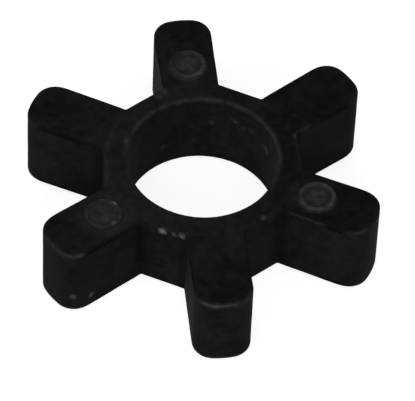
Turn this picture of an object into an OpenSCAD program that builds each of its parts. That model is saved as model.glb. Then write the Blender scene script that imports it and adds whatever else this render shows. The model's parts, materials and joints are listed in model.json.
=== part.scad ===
// Spider of a jaw coupling: one moulded rubber piece with six legs round an open centre.
// Millimetres. The origin is the middle of the centre hole at half the thickness, with +Z along the shafts.
// The first leg points along +Y. On each face, raised dots stand on every other leg.

/* [Legs] */
// Number of legs: an even number, so that the dots of the two faces alternate
leg_count = 6; // [4:2:8]
// Diameter across the leg tips
tip_d = 53; // [50:0.5:60]
// Thickness of the rubber from face to face, without the dots
body_t = 12.2; // [8:0.1:18]
// Width of a leg where its flanks leave the web
leg_w = 8.1; // [7:0.1:9.5]
// Draft of each flank in degrees, which widens a leg towards its tip
flank_draft = 0.8; // [0:0.1:2]
// Radius of the crown across a leg's tip
crown_r = 11.5; // [8:0.5:20]
// Radius of the upright corners between a flank and the crown
corner_r = 3; // [2:0.1:3.3]

/* [Web] */
// Diameter of the open centre
bore_d = 21.3; // [18:0.1:23]
// Width and height of the broken edges of the open centre
bore_break = 0.4; // [0.1:0.05:0.6]
// Distance across the web, between the flat walls of two opposite gaps
web_w = 27.7; // [26.5:0.1:29]
// Height by which the web's faces rise from its walls towards the open centre
web_rise = 0.4; // [0.1:0.05:0.45]
// Distance from the web's walls to the foot of that rise
web_ledge = 0.2; // [0.1:0.1:1]
// Radius of the upright fillet where a flank meets the web's wall
root_r = 0.3; // [0.2:0.1:1.2]

/* [Dots] */
// Diameter of the raised dots that keep the hubs off the rubber
dot_d = 5.5; // [4:0.1:6.4]
// Height of a dot above the face that it stands on
dot_h = 0.5; // [0.3:0.05:0.8]
// Width and height of the broken edge round a dot
dot_break = 0.15; // [0.05:0.05:0.2]
// Distance from the axis to the middle of a dot
dot_reach = 17.5; // [17:0.1:20]
// Width of the rim round the shallow recess in a dot
dot_rim_w = 0.8; // [0.5:0.1:1.2]
// Depth of that recess below the rim
dot_recess = 0.2; // [0.05:0.05:0.25]

/* [Hidden] */
$fn = 96;

// A round stands this much proud of the flat that it runs into, so that the two cross and don't only touch
proud = 0.01;
// How far a piece reaches into the rubber that it joins
bed = 1;

tip_r = tip_d / 2;
bore_r = bore_d / 2;
wall_off = web_w / 2;
half_t = body_t / 2;
leg_step = 360 / leg_count;
first_leg = 90;
gap_turn = leg_step / 2;

function polar(r, a) = [r * cos(a), r * sin(a)];

// The point that lies at distance u along direction a and at distance v along direction b
function meet(u, a, v, b) = [u * sin(b) - v * sin(a), v * cos(a) - u * cos(b)] / sin(b - a);

// A leg is drawn along +X. Its upper flank lies flank_off from the origin and faces along flank_out.
// The web's wall beside it lies wall_off from the origin and faces along gap_turn.
flank_out = 90 + flank_draft;
flank_off = (leg_w / 2 - wall_off * tan(flank_draft)) * cos(flank_draft);

// Middle of the upper tip corner, which runs into both the crown and the flank
crown_x = tip_r - crown_r;
corner_swing = crown_r - corner_r + proud;
corner_turn = flank_draft
    + asin((flank_off - corner_r + proud + crown_x * sin(flank_draft)) / corner_swing);
corner_at = [crown_x, 0] + polar(corner_swing, corner_turn);

// Middle of the upper root fillet, outside both the web's wall and the flank
root_at = meet(wall_off + root_r - proud, gap_turn, flank_off + root_r - proud, flank_out);

// Both flanks, from inside the web to the middle of the tip corners
module flanks() {
    mid_web_r = (bore_r + wall_off) / 2;
    start = polar(sqrt(pow(mid_web_r, 2) - pow(flank_off, 2)), flank_draft) + polar(flank_off, flank_out);
    end = polar(corner_at * polar(1, flank_draft), flank_draft) + polar(flank_off, flank_out);
    polygon([start, end, [end.x, -end.y], [start.x, -start.y]]);
}

module tip_corner() {
    translate(corner_at)
        circle(corner_r);
}

// The slice of the crown's disc between the two tip corners
module crown() {
    translate([crown_x, 0])
        intersection() {
            circle(crown_r);
            polygon([[0, 0], polar(2 * crown_r, -corner_turn), polar(2 * crown_r, corner_turn)]);
        }
}

// A wedge bedded in the web and the flank, hollowed by the fillet's round
module root_fillet() {
    reach = root_r + bed;
    difference() {
        polygon([root_at, root_at - polar(reach, gap_turn), root_at - polar(reach, flank_out)]);
        translate(root_at)
            circle(root_r);
    }
}

// Draws one piece of a leg's outline as a slab from face to face
module on_leg(i) {
    linear_extrude(body_t, center = true)
        rotate(first_leg + i * leg_step)
            children();
}

module leg(i) {
    on_leg(i) flanks();
    on_leg(i) crown();
    for (side = [0, 1]) {
        on_leg(i) mirror([0, side]) tip_corner();
        on_leg(i) mirror([0, side]) root_fillet();
    }
}

// The web has a flat wall in each gap, and its corners are inside the legs
module web() {
    rotate(first_leg)
        cylinder(h = body_t, r = wall_off / cos(gap_turn), center = true, $fn = leg_count);
    for (side = [0, 1])
        mirror([0, 0, side])
            translate([0, 0, half_t])
                cylinder(h = web_rise, r1 = wall_off - web_ledge, r2 = bore_r + bore_break);
}

// The open centre, which widens at both faces
module bore() {
    over = 1;
    top = half_t + web_rise;
    wide = bore_r + bore_break + over;
    rotate_extrude()
        polygon([
            [0, -top - over], [wide, -top - over], [bore_r, bore_break - top],
            [bore_r, top - bore_break], [wide, top + over], [0, top + over]]);
}

// A dot on the upper face, with a rim round a shallow recess
module dot() {
    r = dot_d / 2;
    top = half_t + dot_h;
    floor_r = r - dot_rim_w;
    translate([dot_reach, 0, 0])
        rotate_extrude()
            polygon([
                [0, half_t - bed], [r, half_t - bed], [r, top - dot_break], [r - dot_break, top],
                [floor_r, top], [floor_r, top - dot_recess], [0, top - dot_recess]]);
}

module spider() {
    color("#1c1c1d") {
        difference() {
            union() {
                web();
                for (i = [0 : leg_count - 1])
                    leg(i);
            }
            bore();
        }
        for (i = [0 : leg_count - 1])
            rotate(first_leg + i * leg_step)
                mirror([0, 0, i % 2])
                    dot();
    }
}

spider();
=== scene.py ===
"""Dresses the spider of a jaw coupling: one moulded piece of black rubber, lying flat on a pale floor."""
import json
import math

import bpy
import numpy as np
from mathutils import Matrix, Vector, geometry, noise


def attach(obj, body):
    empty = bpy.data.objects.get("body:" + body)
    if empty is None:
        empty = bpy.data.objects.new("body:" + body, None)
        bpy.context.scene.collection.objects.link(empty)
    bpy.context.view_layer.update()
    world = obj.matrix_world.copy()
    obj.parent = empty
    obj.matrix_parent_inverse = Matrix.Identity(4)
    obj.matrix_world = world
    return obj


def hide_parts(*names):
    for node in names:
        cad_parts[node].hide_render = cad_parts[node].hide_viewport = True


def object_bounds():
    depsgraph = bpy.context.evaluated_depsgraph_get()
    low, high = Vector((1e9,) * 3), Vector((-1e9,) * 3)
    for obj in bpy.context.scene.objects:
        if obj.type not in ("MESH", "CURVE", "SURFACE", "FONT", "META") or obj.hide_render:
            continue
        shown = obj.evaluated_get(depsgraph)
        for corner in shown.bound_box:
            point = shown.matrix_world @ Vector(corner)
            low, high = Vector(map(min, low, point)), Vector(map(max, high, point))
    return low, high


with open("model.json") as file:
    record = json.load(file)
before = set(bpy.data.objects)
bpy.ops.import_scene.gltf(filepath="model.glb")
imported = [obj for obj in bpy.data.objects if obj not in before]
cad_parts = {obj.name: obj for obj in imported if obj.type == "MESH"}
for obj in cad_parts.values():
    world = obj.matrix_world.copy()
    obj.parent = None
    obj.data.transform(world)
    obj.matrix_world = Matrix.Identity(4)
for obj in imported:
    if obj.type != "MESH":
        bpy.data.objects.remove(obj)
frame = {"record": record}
cad_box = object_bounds()

MM = 0.001

# ---------------------------------------------------------------- sizes, in millimetres
# The frame gives how far the first leg reaches along +Y, how high the dots stand and the bore's radius
_, first_tip, dot_top = (round(value / MM, 3) for value in cad_box[1])
mounts = {mount["name"]: mount for mount in frame["record"]["mounts"]}

LEGS = 6
FIRST_LEG = 90
LEG_STEP = 360 / LEGS
TIP_R = first_tip
DOT_H = 0.5
HALF_T = dot_top - DOT_H
LEG_W = 8.1
FLANK_DRAFT = 0.8
CROWN_R = 11.5
CORNER_R = 3.0
# Distance from the axis to the web's flat walls. Its faces rise from a foot just inside them to its bore
WALL_OFF = 13.85
WEB_RISE = 0.4
WEB_FOOT_R = WALL_OFF - 0.2
ROOT_R = 0.3
BORE_R = mounts["centre_hole"]["dims"]["r_mm"]
DOT_R = 2.75
DOT_REACH = 17.5
DOT_RIM_W = 0.75
DOT_RECESS = 0.2
# Radius of a dot's outer shoulder and of the lip round its recess, taper of its side and crown of its recess
DOT_SHOULDER = 0.24
DOT_LIP = 0.12
DOT_TAPER = 0.03
DOT_CROWN = 0.07

# Rounds along the edges of the two faces: wide at the tips, narrow along the flanks
TIP_ROUND = 0.34
FLANK_ROUND = 0.16
WEB_ROUND = 0.26
BORE_ROUND = 0.5
# Distance along the outline over which a round changes its width
ROUND_BLEND = 0.5
# The mould's seam, a groove below a flank's edge
SEAM_DEPTH = 0.08
SEAM_W = 0.36
# Rows across the groove: share of its width, share of its depth and how much of an edge's wear and painted
# highlight shows there
SEAM_ROWS = ((0.3, 0.7, 0.55), (0.5, 1.0, 0.4), (0.7, 0.7, 0.2), (1.0, 0.0, 0.0))
# The seams fade towards the web: distances from the axis, and the share of depth and painted shade that is
# left there
SEAM_REACHES = (15.0, 19.5)
SEAM_SHARES = (0.25, 1.0)

# How far the surface sinks in at most, in soft waves and in a finer unevenness
WAVE_DEPTH = 0.045
WAVE_SIZE = 3.2
PEBBLE_DEPTH = 0.018
PEBBLE_SIZE = 0.7

# Spacing of the mesh along the outline, up the walls and over the two faces
OUTLINE_STEP = 0.18
WALL_STEP = 0.45
FACE_STEP = 0.37
ROUND_STEPS = 5
DOT_POINTS = 84

# ---------------------------------------------------------------- looks
# Light of the world on the object, how the floor looks where it is seen and how pale it is for bounced light
WORLD_LIGHT = 0.35
FLOOR_SHADE = 0.3
FLOOR_GLOW = 0.85
FLOOR_BOUNCE = 0.8

# Grey of the rubber in its dark and light blobs, where it is clean and where it is dusty. On the faces the
# dust fades to the right, a painted shade
CLEAN_DARK = 0.0022
CLEAN_LIGHT = 0.0082
DUSTY_DARK = 0.0052
DUSTY_LIGHT = 0.0132
# Grey of rubbed edges with painted highlights, chalk with painted highlights, painted shade in the seams and
# roots, fine dust and single specks
WEAR_AND_HIGHLIGHT_GREY = 0.036
CHALK_AND_HIGHLIGHT_GREY = 0.05
PAINTED_SHADE_GREY = 0.0008
DUST_GREY = 0.02
SPECK_GREY = 0.16

# Marks for the material: rubbed edges with painted highlights and light, painted shade in seams and roots,
# chalky dots with painted highlights, dusty faces with painted shade to the right
MARKS = ("edge", "seam", "chalk", "dust")
# How dusty the tips, the other walls outside, the open centre and the dots are, from 0 to 1
TIP_DUST = 0.65
WALL_DUST = 0.95
BORE_DUST = 1.0
DOT_DUST = 0.5
# The faces are dusty up to a distance from the axis. Beyond it the dust fades with each millimetre. It also
# fades with each millimetre to the right of the axis, which paints shade on the right of the faces
FACE_DUST_R = 12
DUST_FADE = 0.055
PAINTED_SHADE_RIGHT = 0.06
# Painted shade in the roots: how much at most, how steeply it sets in and how far along the outline it
# spreads
ROOT_SHADE = 0.6
ROOT_SHADE_RISE = 1.3
ROOT_SHADE_REACH = 1.0

# Wear and painted highlight along edges: every tip's wear, a front tip's highlight, the web's wear, lighter
# flanks
TIP_WEAR_LEAST = 0.15
TIP_HIGHLIGHT_FRONT = 0.85
WEB_WEAR = 0.05
FLANK_LIGHTER = 0.5
FLANK_LIGHTER_BLEND = 0.4
# The photo's front is -Y with this much of -X, and the painted highlight on the tips keeps to it by this
# power
FRONT_LEFT = 0.16
FRONT_POWER = 1.6
# How much wear and painted highlight each leg's tip has, from the first leg counter-clockwise
TIP_WEAR_AND_HIGHLIGHT = (0.35, 0.35, 1.0, 1.2, 0.4, 0.4)
# Flank edges that are painted lighter instead of shaded: leg, side, and where, as distances from the axis
LIGHTER_FLANKS = (
    (4, -1, 15.6, 20.9),
    (4, -1, 24.3, 26.5),
    (5, -1, 14.8, 16.8),
)
# How strong the painted highlight on the rim of the open centre is at some angles
RIM_ANGLES = (-180, -150, -120, -60, -30, 0, 60, 110, 150, 180)
RIM_HIGHLIGHT = (0.35, 0.05, 0.0, 0.0, 0.35, 0.75, 0.6, 0.9, 0.75, 0.35)
# Painted light on the wall of the open centre: how pale it is, at the same angles
BORE_PAINTED_LIGHT = (0.18, 0.12, 0.1, 0.1, 0.14, 0.24, 0.14, 0.1, 0.16, 0.18)
# A painted highlight along the foot of the web's rise: its half width, and how strong it is at some angles
FOOT_LINE_W = 0.22
FOOT_LINE_ANGLES = (140, 152, 188, 200)
FOOT_LINE_HIGHLIGHT = (0.06, 0.3, 0.3, 0.06)
# Chalk on the dots: rim, recess, middle, then how much a painted highlight leans to one side, and to which
# angle
DOT_CHALK_AND_HIGHLIGHT = (
    (0.6, 0.24, 0.46, 0.75, -30),
    (0.38, 0.36, 0.42, 0.1, 0),
    (0.68, 0.2, 0.48, 0.3, -50),
)
# Chalk smeared on the face beside a dot: x, y, radius and how much
SMEARS = (
    (-14.9, -8.5, 3.5, 0.28),
    (-12.2, -7.7, 1.8, 0.12),
    (14.5, -8.1, 3.2, 0.14),
    (-0.1, 17.4, 3.0, 0.08),
)
# Single pale specks on the upper face and its dots: angle, distance from the axis, radius and how bright
FACE_SPECKS = (
    (208, 15.0, 0.4, 0.65),
    (217, 17.5, 0.35, 0.4),
    (302, 13.5, 0.4, 0.16),
    (112, 13.0, 0.6, 0.12),
    (107, 13.5, 0.6, 0.15),
    (159, 11.2, 0.45, 0.13),
)
# The same on the walls round the outside: angle, height, radius and how bright
WALL_SPECKS = (
    (239, 5.3, 0.55, 1.0),
    (246, 5.4, 0.4, 0.35),
    (251, 5.6, 0.5, 0.6),
    (218, -3.0, 0.45, 0.3),
    (220.5, -4.0, 0.45, 0.4),
    (267, 6.0, 0.6, 0.09),
    (12, 6.0, 0.5, 0.14),
)
# The same on the wall of the open centre, most of them along the mould's line
BORE_SPECKS = (
    (75, 1.5, 0.45, 0.13),
    (60, 3.5, 0.35, 0.1),
    (56, 3.0, 0.4, 0.2),
    (49, 2.5, 0.35, 0.1),
    (42, 3.0, 0.4, 0.12),
    (24, 2.0, 0.6, 0.2),
    (22, 1.5, 0.55, 0.2),
    (114, -2.5, 0.4, 0.13),
    (88, -2.5, 0.4, 0.07),
)


# ---------------------------------------------------------------- outline of the legs and the web
def polar(radius, degrees):
    angle = math.radians(degrees)
    return np.array([radius * math.cos(angle), radius * math.sin(angle)])


def turning(degrees):
    """Matrix that turns points, written as rows, counter-clockwise."""
    angle = math.radians(degrees)
    return np.array([[math.cos(angle), math.sin(angle)], [-math.sin(angle), math.cos(angle)]])


def arc(centre, radius, start, end, hollow=False):
    """Points and outward normals along an arc, without its end. The rubber is outside a hollow arc."""
    count = max(4, round(abs(radius * math.radians(end - start)) / OUTLINE_STEP))
    turns = np.radians(start + (end - start) * np.arange(count) / count)
    out = np.c_[np.cos(turns), np.sin(turns)]
    return centre + radius * out, -out if hollow else out


def straight(start, end, normal):
    """Points and outward normals along a line, without its end."""
    count = max(2, round(np.linalg.norm(end - start) / OUTLINE_STEP))
    shares = np.arange(count)[:, None] / count
    return start + (end - start) * shares, np.tile(normal, (count, 1))


def meet(first, first_turn, second, second_turn):
    """The point that lies at given distances from the axis along two directions."""
    a, b = math.radians(first_turn), math.radians(second_turn)
    x = first * math.sin(b) - second * math.sin(a)
    y = second * math.cos(a) - first * math.cos(b)
    return np.array([x, y]) / math.sin(b - a)


def half_leg():
    """From the middle of a leg's tip, which points along +X, to the middle of the gap beside it."""
    flank_out = 90 + FLANK_DRAFT
    gap_turn = LEG_STEP / 2
    draft = math.radians(FLANK_DRAFT)
    flank_off = (LEG_W / 2 - WALL_OFF * math.tan(draft)) * math.cos(draft)
    crown_x = TIP_R - CROWN_R
    corner_swing = CROWN_R - CORNER_R
    lean = crown_x * math.sin(draft)
    corner_turn = FLANK_DRAFT + math.degrees(math.asin((flank_off - CORNER_R + lean) / corner_swing))
    corner_at = np.array([crown_x, 0]) + polar(corner_swing, corner_turn)
    root_at = meet(WALL_OFF + ROOT_R, gap_turn, flank_off + ROOT_R, flank_out)
    flank_start = corner_at + polar(CORNER_R, flank_out)
    flank_end = root_at - polar(ROOT_R, flank_out)
    web_start = root_at - polar(ROOT_R, gap_turn)
    web_end = polar(WALL_OFF, gap_turn)
    runs = [
        ("tip", arc(np.array([crown_x, 0]), CROWN_R, 0, corner_turn)),
        ("tip", arc(corner_at, CORNER_R, corner_turn, flank_out)),
        ("flank", straight(flank_start, flank_end, polar(1, flank_out))),
        ("root", arc(root_at, ROOT_R, flank_out - 180, gap_turn - 180, hollow=True)),
        ("web", straight(web_start, web_end, polar(1, gap_turn))),
    ]
    points = np.vstack([run[0] for _, run in runs])
    normals = np.vstack([run[1] for _, run in runs])
    kinds = np.concatenate([[kind] * len(run[0]) for kind, run in runs])
    return points, normals, kinds


def outline():
    """The closed outline of all legs, counter-clockwise from the middle of the gap before the first leg."""
    points, normals, kinds = half_leg()
    gap = polar(WALL_OFF, LEG_STEP / 2)
    flip = np.array([1, -1])
    leg_points = np.vstack([gap * flip, points[:0:-1] * flip, points])
    leg_normals = np.vstack([gap / WALL_OFF * flip, normals[:0:-1] * flip, normals])
    leg_kinds = np.concatenate([["web"], kinds[:0:-1], kinds])
    all_points, all_normals = [], []
    for leg in range(LEGS):
        turn = turning(FIRST_LEG + leg * LEG_STEP)
        all_points.append(leg_points @ turn)
        all_normals.append(leg_normals @ turn)
    return np.vstack(all_points), np.vstack(all_normals), np.tile(leg_kinds, LEGS)


def circle(centre, radius, count):
    turns = 2 * math.pi * np.arange(count) / count
    return centre + radius * np.c_[np.cos(turns), np.sin(turns)]


def dot_places():
    """Middles of the upper face's dots, which stand on every other leg."""
    return [polar(DOT_REACH, FIRST_LEG + leg * LEG_STEP) for leg in range(0, LEGS, 2)]


def face_height(xy):
    """Height of the upper face, which rises over the web towards the open centre."""
    radius = np.hypot(*np.transpose(xy))
    return HALF_T + WEB_RISE * np.interp(radius, (BORE_R + BORE_ROUND, WEB_FOOT_R), (1, 0))


def reach_at(points, angle):
    """Distance from the axis to the closed outline, at angles in degrees."""
    angles = np.degrees(np.arctan2(points[:, 1], points[:, 0]))
    order = np.argsort(angles)
    return np.interp(angle, angles[order], np.hypot(*points.T)[order], period=360)


def leg_and_side(points):
    """Number of the leg that each point is on, and 1 or -1 for its counter-clockwise or clockwise side."""
    angle = np.degrees(np.arctan2(points[:, 1], points[:, 0])) - FIRST_LEG
    steps = np.round(angle / LEG_STEP)
    return steps.astype(int) % LEGS, np.sign(angle - steps * LEG_STEP)


def softened(values, reach):
    """Running mean round the closed outline, over a distance in millimetres to each side."""
    span = round(reach / OUTLINE_STEP)
    return np.mean([np.roll(values, shift) for shift in range(-span, span + 1)], 0)


# ---------------------------------------------------------------- mesh of the spider
class Mesher:
    """Collects rings of points, the marks they carry and the faces between them."""

    def __init__(self):
        self.points = []
        self.faces = []
        self.marks = {name: [] for name in MARKS}

    def add(self, xy, z, **marks):
        first = len(self.points)
        count = len(xy)
        self.points.extend(np.c_[xy, np.broadcast_to(z, count)])
        for name in MARKS:
            self.marks[name].extend(np.broadcast_to(marks.get(name, 0.0), count))
        return np.arange(first, first + count)

    def band(self, upper, lower):
        """Quads between two closed rings that run counter-clockwise. They face out if upper is above."""
        for i in range(len(upper)):
            j = (i + 1) % len(upper)
            self.faces.append((upper[i], lower[i], lower[j], upper[j]))

    def fan(self, ring, centre):
        """Triangles between a closed ring and a point in its middle."""
        for i in range(len(ring)):
            self.faces.append((ring[i], ring[(i + 1) % len(ring)], centre))


def wall_rows():
    """Rows down a wall: shares of the round's inset and drop, depth below it, groove, and wear with painted
    highlight.
    """
    least_glint = 0.35
    rows = []
    for step in range(ROUND_STEPS + 1):
        turn = math.radians(90 * step / ROUND_STEPS)
        glint = least_glint
        if step < ROUND_STEPS:
            glint += (1 - least_glint) * math.sin(2 * turn)
        rows.append((1 - math.sin(turn), 1 - math.cos(turn), 0.0, 0.0, glint))
    for share, sink, glint in SEAM_ROWS:
        rows.append((0.0, 1.0, share * SEAM_W, sink, glint))
    return rows


def add_wall(mesher, points, normals, half_height, rounding, seam, edge, root_shade, dust, painted_light=0.0):
    """Rings from the upper face's edge to the lower face's edge, with rounds, seams and marks."""
    rings = []
    rows = wall_rows()
    # Every row has at least this share of the groove's painted shade. The roots' painted shade stops at this
    # share of a round's inset
    least_shade = 0.7
    shaded_inset = 0.5

    def add(inset_share, drop_share, below, sink, glint, side):
        inset = rounding * inset_share + seam * sink * SEAM_DEPTH
        xy = points - normals * inset[:, None]
        z = side * (half_height - rounding * drop_share - below)
        # Painted shade in the groove and in the roots
        painted_shade = np.maximum(seam * max(sink, least_shade), root_shade * (inset_share < shaded_inset))
        rings.append(mesher.add(xy, z, edge=edge * glint, seam=painted_shade, dust=dust))

    for row in rows:
        add(*row, 1)
    top = half_height - rounding - SEAM_W
    count = round(2 * (half_height - SEAM_W) / WALL_STEP)
    for step in range(1, count):
        z = top * (1 - 2 * step / count)
        rings.append(mesher.add(points, z, seam=root_shade, dust=dust, edge=painted_light))
    for row in reversed(rows):
        add(*row, -1)
    return rings


def face_dust_and_shade(xy):
    """The faces are dustiest round the open centre, and least on the right, where the lack of dust is a
    painted shade.
    """
    reach = np.hypot(*np.transpose(xy))
    return np.clip(1 - DUST_FADE * (reach - FACE_DUST_R) - PAINTED_SHADE_RIGHT * np.maximum(xy[:, 0], 0), 0, 1)


def smear(xy):
    """Chalk on the faces: round spots with soft edges."""
    spots = []
    for x, y, radius, amount in SMEARS:
        away = np.hypot(*(xy - (x, y)).T)
        spots.append(amount * np.exp(-((away / radius) ** 4)))
    return np.max(spots, 0)


def foot_line(xy):
    """A painted highlight along the foot of the web's rise, mostly where it crosses the roots of the legs on
    the left.
    """
    near = np.exp(-((np.hypot(*xy.T) - WEB_FOOT_R) / FOOT_LINE_W) ** 2)
    angle = np.degrees(np.arctan2(xy[:, 1], xy[:, 0])) % 360
    return near * np.interp(angle, FOOT_LINE_ANGLES, FOOT_LINE_HIGHLIGHT)


def dot_profile():
    """Pairs of radius and height from a dot's foot over its round rim to the recess in its middle."""
    # A small fillet where the dot stands on the face
    foot = np.array([[0.12, 0], [0.05, 0.02], [0, 0.08]]) + [DOT_R, 0]
    turns = np.radians(np.linspace(0, 90, 6))
    side_r = DOT_R - DOT_TAPER
    outer = np.c_[side_r - DOT_SHOULDER * (1 - np.cos(turns)), DOT_H - DOT_SHOULDER * (1 - np.sin(turns))]
    recess_r = DOT_R - DOT_RIM_W
    inner = np.c_[recess_r + DOT_LIP * (1 - np.sin(turns)), DOT_H - DOT_LIP * (1 - np.cos(turns))]
    shares = np.array([0.96, 0.88, 0.76, 0.64, 0.52, 0.4, 0.28, 0.15])
    bowl = np.c_[recess_r * shares, DOT_H - DOT_RECESS + DOT_CROWN * (1 - shares)]
    return np.vstack([foot, outer, inner, bowl])


def dot_chalk_shares(profile):
    """How much of the chalk of a dot's rim, recess and middle each point of its profile takes."""
    inward = 1 - profile[:, 0] / DOT_R
    rim = np.interp(inward, (0, 0.08, 0.24, 0.32), (0.45, 1, 0.9, 0))
    middle = np.interp(inward, (0.42, 0.6), (0, 1))
    recess = np.clip(1 - rim - middle, 0, 1) * (inward > 0.2)
    return np.c_[rim, recess, middle]


def fill_face(rim_xy, bore_xy, dot_rings):
    """A fine grid of points between the outline, the open centre and the dots' feet, and its triangles."""
    loops = [rim_xy, bore_xy, *dot_rings]
    fixed = np.vstack(loops)
    edges, first = [], 0
    for loop in loops:
        count = len(loop)
        edges += [(first + i, first + (i + 1) % count) for i in range(count)]
        first += count

    def inside(xy, margin):
        edge = reach_at(rim_xy, np.degrees(np.arctan2(xy[:, 1], xy[:, 0])))
        radius = np.hypot(*xy.T)
        keep = (radius < edge - margin) & (radius > np.hypot(*bore_xy[0]) + margin)
        for ring in dot_rings:
            centre = ring.mean(0)
            keep &= np.hypot(*(xy - centre).T) > np.hypot(*(ring[0] - centre)) + margin
        return keep

    rows = np.arange(-TIP_R, TIP_R, FACE_STEP * math.sqrt(3) / 2)
    columns = np.arange(-TIP_R, TIP_R, FACE_STEP)
    grid = np.array([(x + FACE_STEP / 2 * (row % 2), y) for row, y in enumerate(rows) for x in columns])
    # A ring of points replaces the grid along the foot of the web's rise
    grid = grid[np.abs(np.hypot(*grid.T) - WEB_FOOT_R) > 0.5 * FACE_STEP]
    foot = circle(np.zeros(2), WEB_FOOT_R, round(2 * math.pi * WEB_FOOT_R / FACE_STEP))
    grid = np.vstack([grid, foot])
    grid = grid[inside(grid, 0.6 * FACE_STEP)]
    points = np.vstack([fixed, grid])
    vectors = [Vector(point) for point in points]
    found, _, triangles, origins, _, _ = geometry.delaunay_2d_cdt(vectors, edges, [], 0, 1e-7)
    found = np.array([tuple(point) for point in found])
    triangles = np.array(triangles)
    source = np.array([origin[0] for origin in origins])
    kept = triangles[inside(found[triangles].mean(1), 0)]
    return points[len(fixed):], source[kept]


def add_outside(mesher, points, normals, kinds):
    """The walls round the legs and the web. Returns the rounding along their edges, and their rings."""
    tip = softened(np.where(kinds == "tip", 1.0, 0.0), ROUND_BLEND)
    flank = softened(np.where(kinds == "flank", 1.0, 0.0), ROUND_BLEND)
    root = softened(np.where(kinds == "root", 1.0, 0.0), ROOT_SHADE_REACH)
    web = 1 - tip - flank
    rounding = TIP_ROUND * tip + FLANK_ROUND * flank + WEB_ROUND * web

    leg, side = leg_and_side(points)
    reach = np.hypot(*points.T)
    lighter_flank = np.zeros(len(points))
    for flank_leg, flank_side, start, end in LIGHTER_FLANKS:
        lighter_flank[(leg == flank_leg) & (side == flank_side) & (reach > start) & (reach < end)] = 1
    lighter_flank = softened(lighter_flank, FLANK_LIGHTER_BLEND) * flank
    # A painted highlight on the tips where they face the front
    frontward = np.clip(-normals[:, 1] - FRONT_LEFT * normals[:, 0], 0, 1) ** FRONT_POWER
    edge = tip * (TIP_WEAR_LEAST + TIP_HIGHLIGHT_FRONT * frontward) * np.array(TIP_WEAR_AND_HIGHLIGHT)[leg]
    edge = edge + WEB_WEAR * web + FLANK_LIGHTER * lighter_flank
    just_inside = points - normals * 0.3
    edge += foot_line(just_inside) * web
    # Painted shade in the seams' grooves
    seam = flank * (1 - lighter_flank) * np.interp(reach, SEAM_REACHES, SEAM_SHARES)
    # Painted shade in the roots of the legs
    root_shade = np.minimum(ROOT_SHADE_RISE * root, ROOT_SHADE)
    dust = TIP_DUST * tip + WALL_DUST * (1 - tip)
    rings = add_wall(mesher, points, normals, HALF_T, rounding, seam, edge, root_shade, dust)
    for upper, lower in zip(rings, rings[1:]):
        mesher.band(upper, lower)
    return rounding, rings


def add_bore(mesher):
    """The wall of the open centre. Returns its outline on the faces, and its rings."""
    count = round(2 * math.pi * BORE_R / OUTLINE_STEP / LEGS) * LEGS
    out = circle(np.zeros(2), 1, count)
    none = np.zeros(count)
    rounding = np.full(count, BORE_ROUND)
    angle = np.degrees(np.arctan2(out[:, 1], out[:, 0]))
    # A painted highlight on the rim and painted light on the wall, both by angle
    rim_highlight = np.interp(angle, RIM_ANGLES, RIM_HIGHLIGHT)
    painted_light = np.interp(angle, RIM_ANGLES, BORE_PAINTED_LIGHT)
    rim_height = HALF_T + WEB_RISE
    rings = add_wall(mesher, out * BORE_R, -out, rim_height, rounding, none, rim_highlight, none, BORE_DUST, painted_light)
    for upper, lower in zip(rings, rings[1:]):
        mesher.band(lower, upper)
    return out * (BORE_R + BORE_ROUND), rings


def add_dot(mesher, centre, foot_ring, look, side, move):
    """A dot over the ring of its foot, on the upper face for side 1 and on the lower one for side -1."""
    profile = dot_profile()
    *amounts, lean, toward = look
    angle = 360 * np.arange(DOT_POINTS) / DOT_POINTS
    leaning = 1 + lean * np.cos(np.radians(angle - toward))
    previous = foot_ring
    for (radius, height), shares in zip(profile[1:], dot_chalk_shares(profile)[1:]):
        place = circle(centre, radius, DOT_POINTS)
        # The lean paints a highlight on one side of the rim
        chalk = np.dot(shares, amounts) * (1 + (leaning - 1) * shares[0])
        chalk = np.maximum(chalk, smear(place))
        following = mesher.add(place @ move, side * (HALF_T + height), chalk=chalk, dust=DOT_DUST)
        pair = (following, previous) if side == 1 else (previous, following)
        mesher.band(*pair)
        previous = following
    z = side * (HALF_T + profile[-1, 1])
    middle = mesher.add((centre @ move)[None], z, chalk=amounts[-1], dust=DOT_DUST)
    mesher.fan(previous[::side], middle[0])


def spider_mesh():
    mesher = Mesher()
    points, normals, kinds = outline()
    rounding, outer = add_outside(mesher, points, normals, kinds)
    bore_xy, inner = add_bore(mesher)

    foot_r = dot_profile()[0, 0]
    feet = [circle(centre, foot_r, DOT_POINTS) for centre in dot_places()]
    rim_xy = points - normals * rounding[:, None]
    grid, triangles = fill_face(rim_xy, bore_xy, feet)

    for side in (1, -1):
        # The underside has the upper face's pattern, turned by one leg, so that its dots alternate
        move = np.eye(2) if side == 1 else turning(LEG_STEP)
        rim = outer[0] if side == 1 else np.roll(outer[-1], -len(points) // LEGS)
        bore = inner[0] if side == 1 else np.roll(inner[-1], -len(bore_xy) // LEGS)
        rings = []
        for foot in feet:
            rings.append(mesher.add(foot @ move, side * HALF_T, dust=face_dust_and_shade(foot), chalk=smear(foot)))
        marks = {"dust": face_dust_and_shade(grid), "edge": foot_line(grid), "chalk": smear(grid)}
        fill = mesher.add(grid @ move, side * face_height(grid), **marks)
        index = np.concatenate([rim, bore, *rings, fill])
        for triangle in index[triangles]:
            mesher.faces.append(tuple(triangle[::side]))
        for centre, ring, look in zip(dot_places(), rings, DOT_CHALK_AND_HIGHLIGHT):
            add_dot(mesher, centre, ring, look, side, move)
    return mesher


def swell(points, size, seed):
    """Smooth noise from 0 to 1 over the points, with lumps of a size in millimetres."""
    shift = Vector((seed * 17.3, seed * 5.1, seed * 9.7))
    return np.array([0.5 + 0.5 * noise.noise(Vector(point) / size + shift) for point in points])


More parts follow.
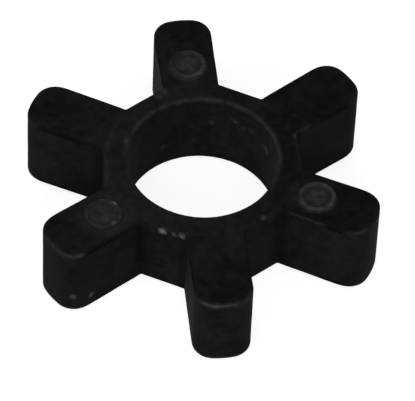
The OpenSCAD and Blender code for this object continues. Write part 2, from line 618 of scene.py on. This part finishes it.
def build_spider(material):
    mesher = spider_mesh()
    points = np.array(mesher.points)
    mesh = bpy.data.meshes.new("spider_rubber")
    mesh.from_pydata(points * MM, [], mesher.faces)
    mesh.validate()
    normals = np.array([vertex.normal for vertex in mesh.vertices])
    sink = WAVE_DEPTH * swell(points, WAVE_SIZE, 1) + PEBBLE_DEPTH * swell(points, PEBBLE_SIZE, 2)
    points -= normals * sink[:, None]
    mesh.vertices.foreach_set("co", (points * MM).ravel())
    for name in MARKS:
        mark = mesh.attributes.new(name, "FLOAT", "POINT")
        mark.data.foreach_set("value", np.array(mesher.marks[name], dtype=np.float32))
    mesh.shade_smooth()
    mesh.update()
    piece = bpy.data.objects.new("spider_rubber", mesh)
    bpy.context.scene.collection.objects.link(piece)
    mesh.materials.append(material)
    return piece


# ---------------------------------------------------------------- materials
class Nodes:
    """Short ways to add shader nodes to a material."""

    def __init__(self, tree):
        self.tree = tree
        self.place = tree.nodes.new("ShaderNodeTexCoord").outputs["Object"]

    def plug(self, socket, value):
        if isinstance(value, bpy.types.NodeSocket):
            self.tree.links.new(value, socket)
        else:
            socket.default_value = value

    def noise(self, size, detail=2.0, roughness=0.5):
        """Noise with blobs of a size in millimetres, from 0 to 1."""
        node = self.tree.nodes.new("ShaderNodeTexNoise")
        self.tree.links.new(self.place, node.inputs["Vector"])
        node.inputs["Scale"].default_value = 1 / (size * MM)
        node.inputs["Detail"].default_value = detail
        node.inputs["Roughness"].default_value = roughness
        return node.outputs["Fac"]

    def spread(self, value, low, high, to_low=0.0, to_high=1.0):
        """Maps low to high onto to_low to to_high, and clamps."""
        node = self.tree.nodes.new("ShaderNodeMapRange")
        self.plug(node.inputs["Value"], value)
        node.inputs["From Min"].default_value = low
        node.inputs["From Max"].default_value = high
        node.inputs["To Min"].default_value = to_low
        node.inputs["To Max"].default_value = to_high
        return node.outputs["Result"]

    def math(self, operation, first, second):
        node = self.tree.nodes.new("ShaderNodeMath")
        node.operation = operation
        self.plug(node.inputs[0], first)
        self.plug(node.inputs[1], second)
        return node.outputs[0]

    def vector(self, operation, first, second, output="Vector"):
        node = self.tree.nodes.new("ShaderNodeVectorMath")
        node.operation = operation
        self.plug(node.inputs[0], first)
        self.plug(node.inputs[1], second)
        return node.outputs[output]

    def mark(self, name):
        node = self.tree.nodes.new("ShaderNodeAttribute")
        node.attribute_name = name
        return node.outputs["Fac"]

    def mix(self, share, first, second):
        node = self.tree.nodes.new("ShaderNodeMix")
        node.data_type = "RGBA"
        self.plug(node.inputs["Factor"], share)
        self.plug(node.inputs["A"], first)
        self.plug(node.inputs["B"], second)
        return node.outputs["Result"]


def speck_places():
    """Middle, radius and brightness of each single speck."""
    walls = outline()[0]
    for angle, distance, radius, bright in FACE_SPECKS:
        xy = polar(distance, angle)
        on_dot = min(np.hypot(*(xy - dot)) for dot in dot_places()) < DOT_R
        z = HALF_T + DOT_H if on_dot else face_height(xy)
        yield (*xy, z), radius, bright
    for angle, z, radius, bright in WALL_SPECKS:
        yield (*polar(reach_at(walls, angle), angle), z), radius, bright
    for angle, z, radius, bright in BORE_SPECKS:
        yield (*polar(BORE_R, angle), z), radius, bright


def grey(level, warmth=0.0):
    """Colour of a grey, with a share more red and less blue."""
    return (level * (1 + warmth), level, level * (1 - warmth), 1)


def speck_cover(nodes):
    """How much the single specks cover at each place, with ragged edges."""
    # Noise moves each place along all three axes by up to this many millimetres, and by half of it on average
    jitter = 0.6
    ragged = nodes.tree.nodes.new("ShaderNodeTexNoise")
    nodes.plug(ragged.inputs["Vector"], nodes.place)
    ragged.inputs["Scale"].default_value = 1 / (0.5 * MM)
    shift = nodes.vector("MULTIPLY", ragged.outputs["Color"], (jitter * MM, jitter * MM, jitter * MM))
    moved = nodes.vector("ADD", nodes.place, shift)
    cover = 0.0
    for spot, radius, bright in speck_places():
        centre = tuple(float(value + jitter / 2) * MM for value in spot)
        away = nodes.vector("DISTANCE", moved, centre, "Value")
        # A speck fades out from 0.2 to 1.4 times its radius
        speck = nodes.spread(away, 1.4 * radius * MM, 0.2 * radius * MM, 0, bright)
        cover = nodes.math("MAXIMUM", cover, speck)
    return cover


def black_rubber():
    material = bpy.data.materials.new("black_rubber")
    material.use_nodes = True
    nodes = Nodes(material.node_tree)
    shader = material.node_tree.nodes["Principled BSDF"]

    patches = nodes.spread(nodes.noise(4.5, 2), 0.4, 0.6)
    mottle = nodes.spread(nodes.noise(1.1, 3, 0.6), 0.36, 0.64)
    grain = nodes.spread(nodes.noise(0.32, 2, 0.6), 0.3, 0.7)
    blotch = nodes.math("ADD", nodes.math("MULTIPLY", patches, 0.35), nodes.math("MULTIPLY", mottle, 0.65))
    # On the faces the dust mark also fades to the right, which is a painted shade
    dark = nodes.mix(nodes.mark("dust"), grey(CLEAN_DARK), grey(DUSTY_DARK))
    light = nodes.mix(nodes.mark("dust"), grey(CLEAN_LIGHT), grey(DUSTY_LIGHT))
    colour = nodes.mix(blotch, dark, light)

    # Edges rub grey and carry painted highlights, and the open centre's wall carries painted light, unevenly
    edge_patches = nodes.spread(nodes.noise(1.3, 3, 0.6), 0.36, 0.62, 0.2, 1.1)
    wear_and_highlight = nodes.math("MULTIPLY", nodes.mark("edge"), edge_patches)
    colour = nodes.mix(wear_and_highlight, colour, grey(WEAR_AND_HIGHLIGHT_GREY))
    # The dots keep the chalky bloom of the mould's release powder, with a painted highlight on one side of
    # their rims
    chalk_and_highlight_patches = nodes.spread(nodes.noise(1, 3, 0.55), 0.34, 0.66, 0.45, 1.2)
    chalk = nodes.math("MULTIPLY", nodes.mark("chalk"), chalk_and_highlight_patches)
    colour = nodes.mix(chalk, colour, grey(CHALK_AND_HIGHLIGHT_GREY, warmth=0.01))
    # Painted shade in the seams and in the roots of the legs
    painted_shade = nodes.math("MULTIPLY", nodes.mark("seam"), 0.85)
    colour = nodes.mix(painted_shade, colour, grey(PAINTED_SHADE_GREY))
    # Fine dust all over, and single pale specks
    dust = nodes.math("MULTIPLY", nodes.spread(nodes.noise(0.6, 2), 0.62, 0.76), 0.35)
    colour = nodes.mix(dust, colour, grey(DUST_GREY))
    colour = nodes.mix(speck_cover(nodes), colour, grey(SPECK_GREY))
    nodes.plug(shader.inputs["Base Color"], colour)

    dull = nodes.spread(mottle, 0, 1, 0.74, 0.9)
    polish = nodes.math("MULTIPLY", nodes.mark("edge"), 0.15)
    nodes.plug(shader.inputs["Roughness"], nodes.math("SUBTRACT", dull, polish))
    shader.inputs["Specular IOR Level"].default_value = 0.025

    bump = material.node_tree.nodes.new("ShaderNodeBump")
    bump.inputs["Strength"].default_value = 0.5
    bump.inputs["Distance"].default_value = 0.03 * MM
    relief = nodes.math("ADD", mottle, nodes.math("MULTIPLY", grain, 0.5))
    nodes.plug(bump.inputs["Height"], relief)
    nodes.plug(shader.inputs["Normal"], bump.outputs["Normal"])
    return material


def seen_directly(tree):
    """1 for camera, glossy and transmission rays, and 0 for the light that bounces."""
    rays = tree.nodes.new("ShaderNodeLightPath")
    seen = rays.outputs["Is Camera Ray"]
    for other in ("Is Glossy Ray", "Is Transmission Ray"):
        larger = tree.nodes.new("ShaderNodeMath")
        larger.operation = "MAXIMUM"
        tree.links.new(seen, larger.inputs[0])
        tree.links.new(rays.outputs[other], larger.inputs[1])
        seen = larger.outputs[0]
    return seen


def pale_floor():
    """Pale grey for bounced light. Where it is seen, it is lifted to white, and the shadow on it stays."""
    material = bpy.data.materials.new("pale_floor")
    material.use_nodes = True
    tree = material.node_tree
    tree.nodes.clear()

    def diffuse(level):
        node = tree.nodes.new("ShaderNodeBsdfDiffuse")
        node.inputs["Color"].default_value = grey(level)
        return node.outputs["BSDF"]

    glow = tree.nodes.new("ShaderNodeEmission")
    glow.inputs["Color"].default_value = grey(1)
    glow.inputs["Strength"].default_value = FLOOR_GLOW
    lifted = tree.nodes.new("ShaderNodeAddShader")
    tree.links.new(diffuse(FLOOR_SHADE), lifted.inputs[0])
    tree.links.new(glow.outputs["Emission"], lifted.inputs[1])
    choice = tree.nodes.new("ShaderNodeMixShader")
    tree.links.new(seen_directly(tree), choice.inputs["Fac"])
    tree.links.new(diffuse(FLOOR_BOUNCE), choice.inputs[1])
    tree.links.new(lifted.outputs["Shader"], choice.inputs[2])
    output = tree.nodes.new("ShaderNodeOutputMaterial")
    tree.links.new(choice.outputs["Shader"], output.inputs["Surface"])
    return material


# ---------------------------------------------------------------- stage
def build_floor():
    """A square under the lower dots, twelve metres wide."""
    half = 6.0
    z = -HALF_T * MM - DOT_H * MM
    corners = [(-half, -half, z), (half, -half, z), (half, half, z), (-half, half, z)]
    mesh = bpy.data.meshes.new("floor")
    mesh.from_pydata(corners, [], [(0, 1, 2, 3)])
    floor = bpy.data.objects.new("floor", mesh)
    bpy.context.scene.collection.objects.link(floor)
    mesh.materials.append(pale_floor())


def softbox(name, azimuth, elevation, distance, size, power):
    """A square lamp that shines at the spider, in metres and watts. Azimuth 0 is in front, at -Y."""
    turn, lift = math.radians(azimuth), math.radians(elevation)
    toward = Vector((math.sin(turn) * math.cos(lift), -math.cos(turn) * math.cos(lift), math.sin(lift)))
    lamp = bpy.data.lights.new(name, "AREA")
    lamp.size = size
    lamp.energy = power
    holder = bpy.data.objects.new(name, lamp)
    holder.location = toward * distance
    holder.rotation_mode = "QUATERNION"
    holder.rotation_quaternion = toward.to_track_quat("Z", "Y")
    holder.visible_camera = False
    bpy.context.scene.collection.objects.link(holder)


def build_world():
    world = bpy.data.worlds.new("studio")
    world.use_nodes = True
    tree = world.node_tree
    shader = tree.nodes["Background"]
    strength = tree.nodes.new("ShaderNodeMapRange")
    strength.inputs["To Min"].default_value = WORLD_LIGHT
    strength.inputs["To Max"].default_value = 1.0
    tree.links.new(seen_directly(tree), strength.inputs["Value"])
    tree.links.new(strength.outputs["Result"], shader.inputs["Strength"])
    shader.inputs["Color"].default_value = grey(1)
    bpy.context.scene.world = world


def build_camera():
    """Stands at the photo's angle. Distances are in millimetres."""
    azimuth, elevation, roll = map(math.radians, (-9.12, 50.73, 2.55))
    distance = 629.4
    aim_right, aim_up = 0.86, -2.06
    level_share = math.cos(elevation)
    back = Vector((math.sin(azimuth) * level_share, -math.cos(azimuth) * level_share, math.sin(elevation)))
    level = Vector((math.cos(azimuth), math.sin(azimuth), 0))
    rise = back.cross(level)
    right = level * math.cos(roll) + rise * math.sin(roll)
    up = rise * math.cos(roll) - level * math.sin(roll)
    eye = back * distance
    behind = (eye - right * aim_right - up * aim_up).normalized()
    right = (right - behind * right.dot(behind)).normalized()
    up = behind.cross(right)
    data = bpy.data.cameras.new("camera")
    data.lens = 382.4
    data.sensor_width = 36
    data.clip_start = 0.01
    camera = bpy.data.objects.new("camera", data)
    bpy.context.scene.collection.objects.link(camera)
    camera.matrix_world = Matrix.Translation(eye * MM) @ Matrix((right, up, behind)).transposed().to_4x4()
    bpy.context.scene.camera = camera


spider = build_spider(black_rubber())
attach(spider, "root")
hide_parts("spider")

build_floor()
build_world()
build_camera()
softbox("front_softbox", azimuth=-2, elevation=35, distance=0.9, size=0.2, power=2.2)
softbox("left_softbox", azimuth=-60, elevation=35, distance=0.9, size=0.5, power=1.4)
softbox("top_softbox", azimuth=-20, elevation=80, distance=1.0, size=0.6, power=2.0)

bpy.context.scene.view_settings.view_transform = "Standard"
